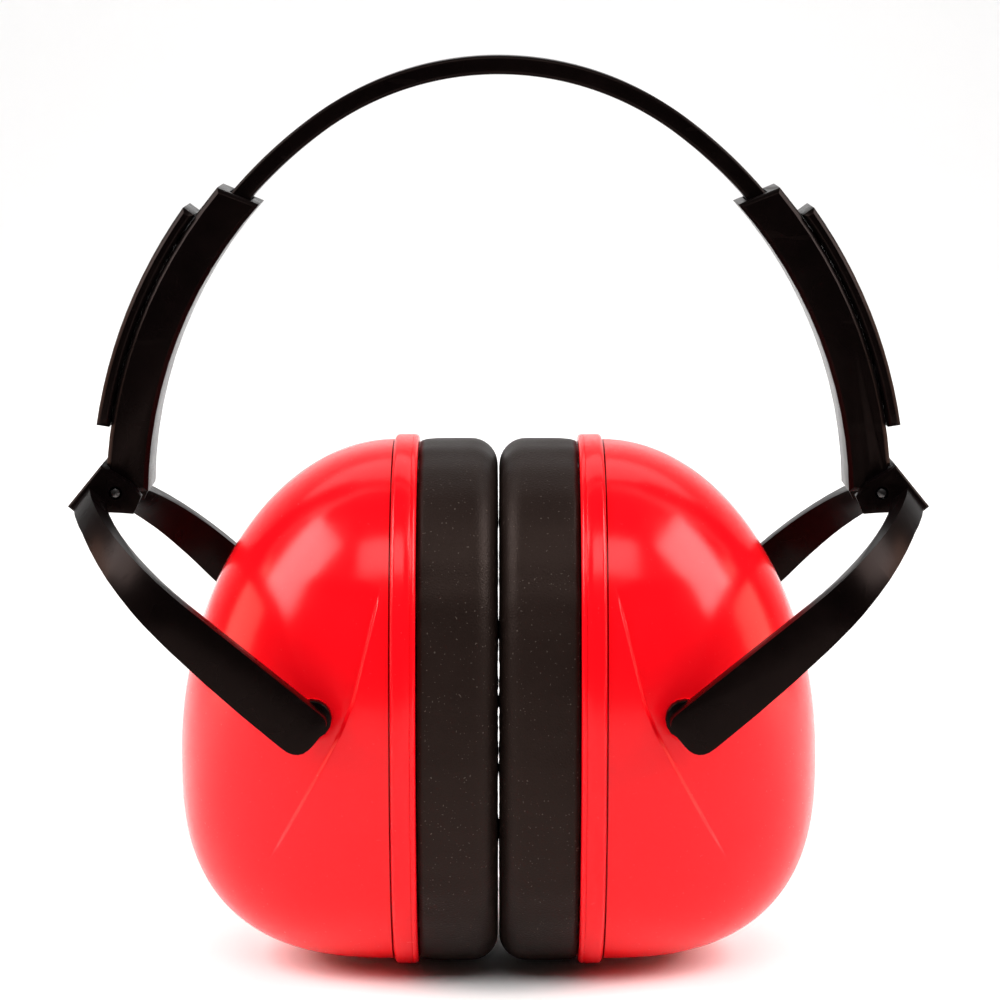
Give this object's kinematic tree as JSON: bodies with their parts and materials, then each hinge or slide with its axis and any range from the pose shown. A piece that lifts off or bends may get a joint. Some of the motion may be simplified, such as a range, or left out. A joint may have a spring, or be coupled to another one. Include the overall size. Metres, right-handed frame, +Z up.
{
  "type": "earmuff hearing protector",
  "caption": "Folding earmuff hearing protector: a springy head strip, arms that slide along it, and hinged yokes that carry domed cups with ring cushions.",
  "frame": {"origin": "middle of the small flat under the crown of the head strip, where it rests on a head", "axes": "+X to the object's right, -Y to its front and +Z up; the cups hang below the origin, and X = 0 is the mirror plane between them"},
  "size_m": [0.1752, 0.0922, 0.1878],
  "materials": {
    "red_shell": "glossy injection-moulded shell",
    "black_plastic": "satin, slightly warm black",
    "black_nylon": "plain moulded nylon",
    "pin_steel": "blackened drawn pin",
    "cushion_foil": "fine-grained soft vinyl foil, dark brownish black",
    "foam": "open-cell sound-absorbing foam"
  },
  "bodies": {
    "headband": {"head_band": "black_plastic"},
    "left_band_end": {"left_slide_stop": "black_nylon"},
    "left_arm": {"left_arm_sleeve": "black_plastic", "left_arm_cover": "black_plastic", "left_hinge_pin": "pin_steel"},
    "left_fork": {"left_yoke": "black_plastic", "left_front_stud": "black_nylon", "left_rear_stud": "black_nylon"},
    "left_cup": {"left_cup_shell": "red_shell", "left_cup_rim": "red_shell", "left_cushion_plate": "black_plastic", "left_cushion_foam": "foam", "left_cushion_cover": "cushion_foil", "left_cup_liner": "foam"},
    "right_band_end": {"right_slide_stop": "black_nylon"},
    "right_arm": {"right_arm_sleeve": "black_plastic", "right_arm_cover": "black_plastic", "right_hinge_pin": "pin_steel"},
    "right_fork": {"right_yoke": "black_plastic", "right_front_stud": "black_nylon", "right_rear_stud": "black_nylon"},
    "right_cup": {"right_cup_shell": "red_shell", "right_cup_rim": "red_shell", "right_cushion_plate": "black_plastic", "right_cushion_foam": "foam", "right_cushion_cover": "cushion_foil", "right_cup_liner": "foam"}
  },
  "joints": [
    {"name": "left_flex", "type": "hinge", "parent": "headband", "child": "left_band_end", "pos_m": [-0.029, 0, -0.0052], "axis": [0, 1, 0], "range_deg": [0, 30], "stiffness_Nm_per_rad": 2.2, "springref_deg": -5.16, "deforming": ["head_band"]},
    {"name": "left_extend", "type": "hinge", "parent": "left_band_end", "child": "left_arm", "pos_m": [0.0194, 0, -0.08672], "axis": [0, -1, 0], "range_deg": [0, 17.5]},
    {"name": "left_fold", "type": "hinge", "parent": "left_arm", "child": "left_fork", "pos_m": [-0.07787, 0, -0.08423], "axis": [0, -1, 0], "range_deg": [0, 72], "deforming": ["left_cushion_cover", "left_cushion_foam"]},
    {"name": "left_cup_turn", "type": "hinge", "parent": "left_fork", "child": "left_cup", "pos_m": [-0.03665, 0, -0.1247], "axis": [0, -1, 0], "range_deg": [-72, 0]},
    {"name": "right_flex", "type": "hinge", "parent": "headband", "child": "right_band_end", "pos_m": [0.029, 0, -0.0052], "axis": [0, -1, 0], "range_deg": [0, 30], "stiffness_Nm_per_rad": 2.2, "springref_deg": -5.16, "deforming": ["head_band"]},
    {"name": "right_extend", "type": "hinge", "parent": "right_band_end", "child": "right_arm", "pos_m": [-0.0194, 0, -0.08672], "axis": [0, 1, 0], "range_deg": [0, 17.5]},
    {"name": "right_fold", "type": "hinge", "parent": "right_arm", "child": "right_fork", "pos_m": [0.07787, 0, -0.08423], "axis": [0, 1, 0], "range_deg": [0, 72], "deforming": ["right_cushion_cover", "right_cushion_foam"]},
    {"name": "right_cup_turn", "type": "hinge", "parent": "right_fork", "child": "right_cup", "pos_m": [0.03665, 0, -0.1247], "axis": [0, 1, 0], "range_deg": [-72, 0]}
  ],
  "couplings": [
    {"joint": "left_cup_turn", "follows": "left_fold", "ratio": -1},
    {"joint": "right_cup_turn", "follows": "right_fold", "ratio": -1}
  ]
}
